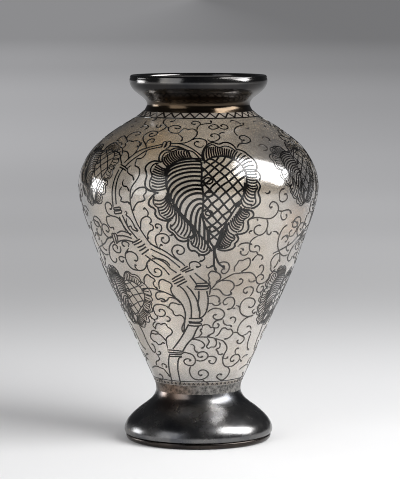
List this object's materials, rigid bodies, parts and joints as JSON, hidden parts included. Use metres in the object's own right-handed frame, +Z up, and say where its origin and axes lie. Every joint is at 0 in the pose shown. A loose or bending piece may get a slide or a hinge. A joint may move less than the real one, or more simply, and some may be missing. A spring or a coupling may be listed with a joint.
{
  "type": "silver-mounted glass vase",
  "caption": "Blown glass baluster vase with a flared silver rim and a domed silver foot, overlaid with a silver vine of heart leaves and scrolls.",
  "frame": {"origin": "centre of the base, on the surface the vase stands on", "axes": "+Z up along the vase's axis, -Y towards the front with the large heart leaf, +X to the right seen from the front"},
  "size_m": [0.1917, 0.1917, 0.29],
  "materials": {
    "glass": "gloss",
    "mount_silver": "polished",
    "lining_silver": "satin",
    "line_silver": "satin",
    "cement": "matte"
  },
  "bodies": {
    "root": {"glass_body": "glass", "rim_shell": "mount_silver", "lip_wire": "mount_silver", "rim_lining": "lining_silver", "neck_cement": "cement", "neck_border": "line_silver", "foot_cup": "mount_silver", "cup_cement": "cement", "waist_border": "line_silver", "foot_dome": "mount_silver", "foot_filling": "cement", "base_ring": "mount_silver", "base_plate": "lining_silver", "vine_stem_1": "line_silver", "vine_stem_2": "line_silver", "vine_stem_3": "line_silver", "large_leaf_1": "line_silver", "large_leaf_2": "line_silver", "large_leaf_3": "line_silver", "side_leaf_1": "line_silver", "side_leaf_2": "line_silver", "side_leaf_3": "line_silver", "low_leaf_1": "line_silver", "low_leaf_2": "line_silver", "low_leaf_3": "line_silver"}
  },
  "joints": []
}
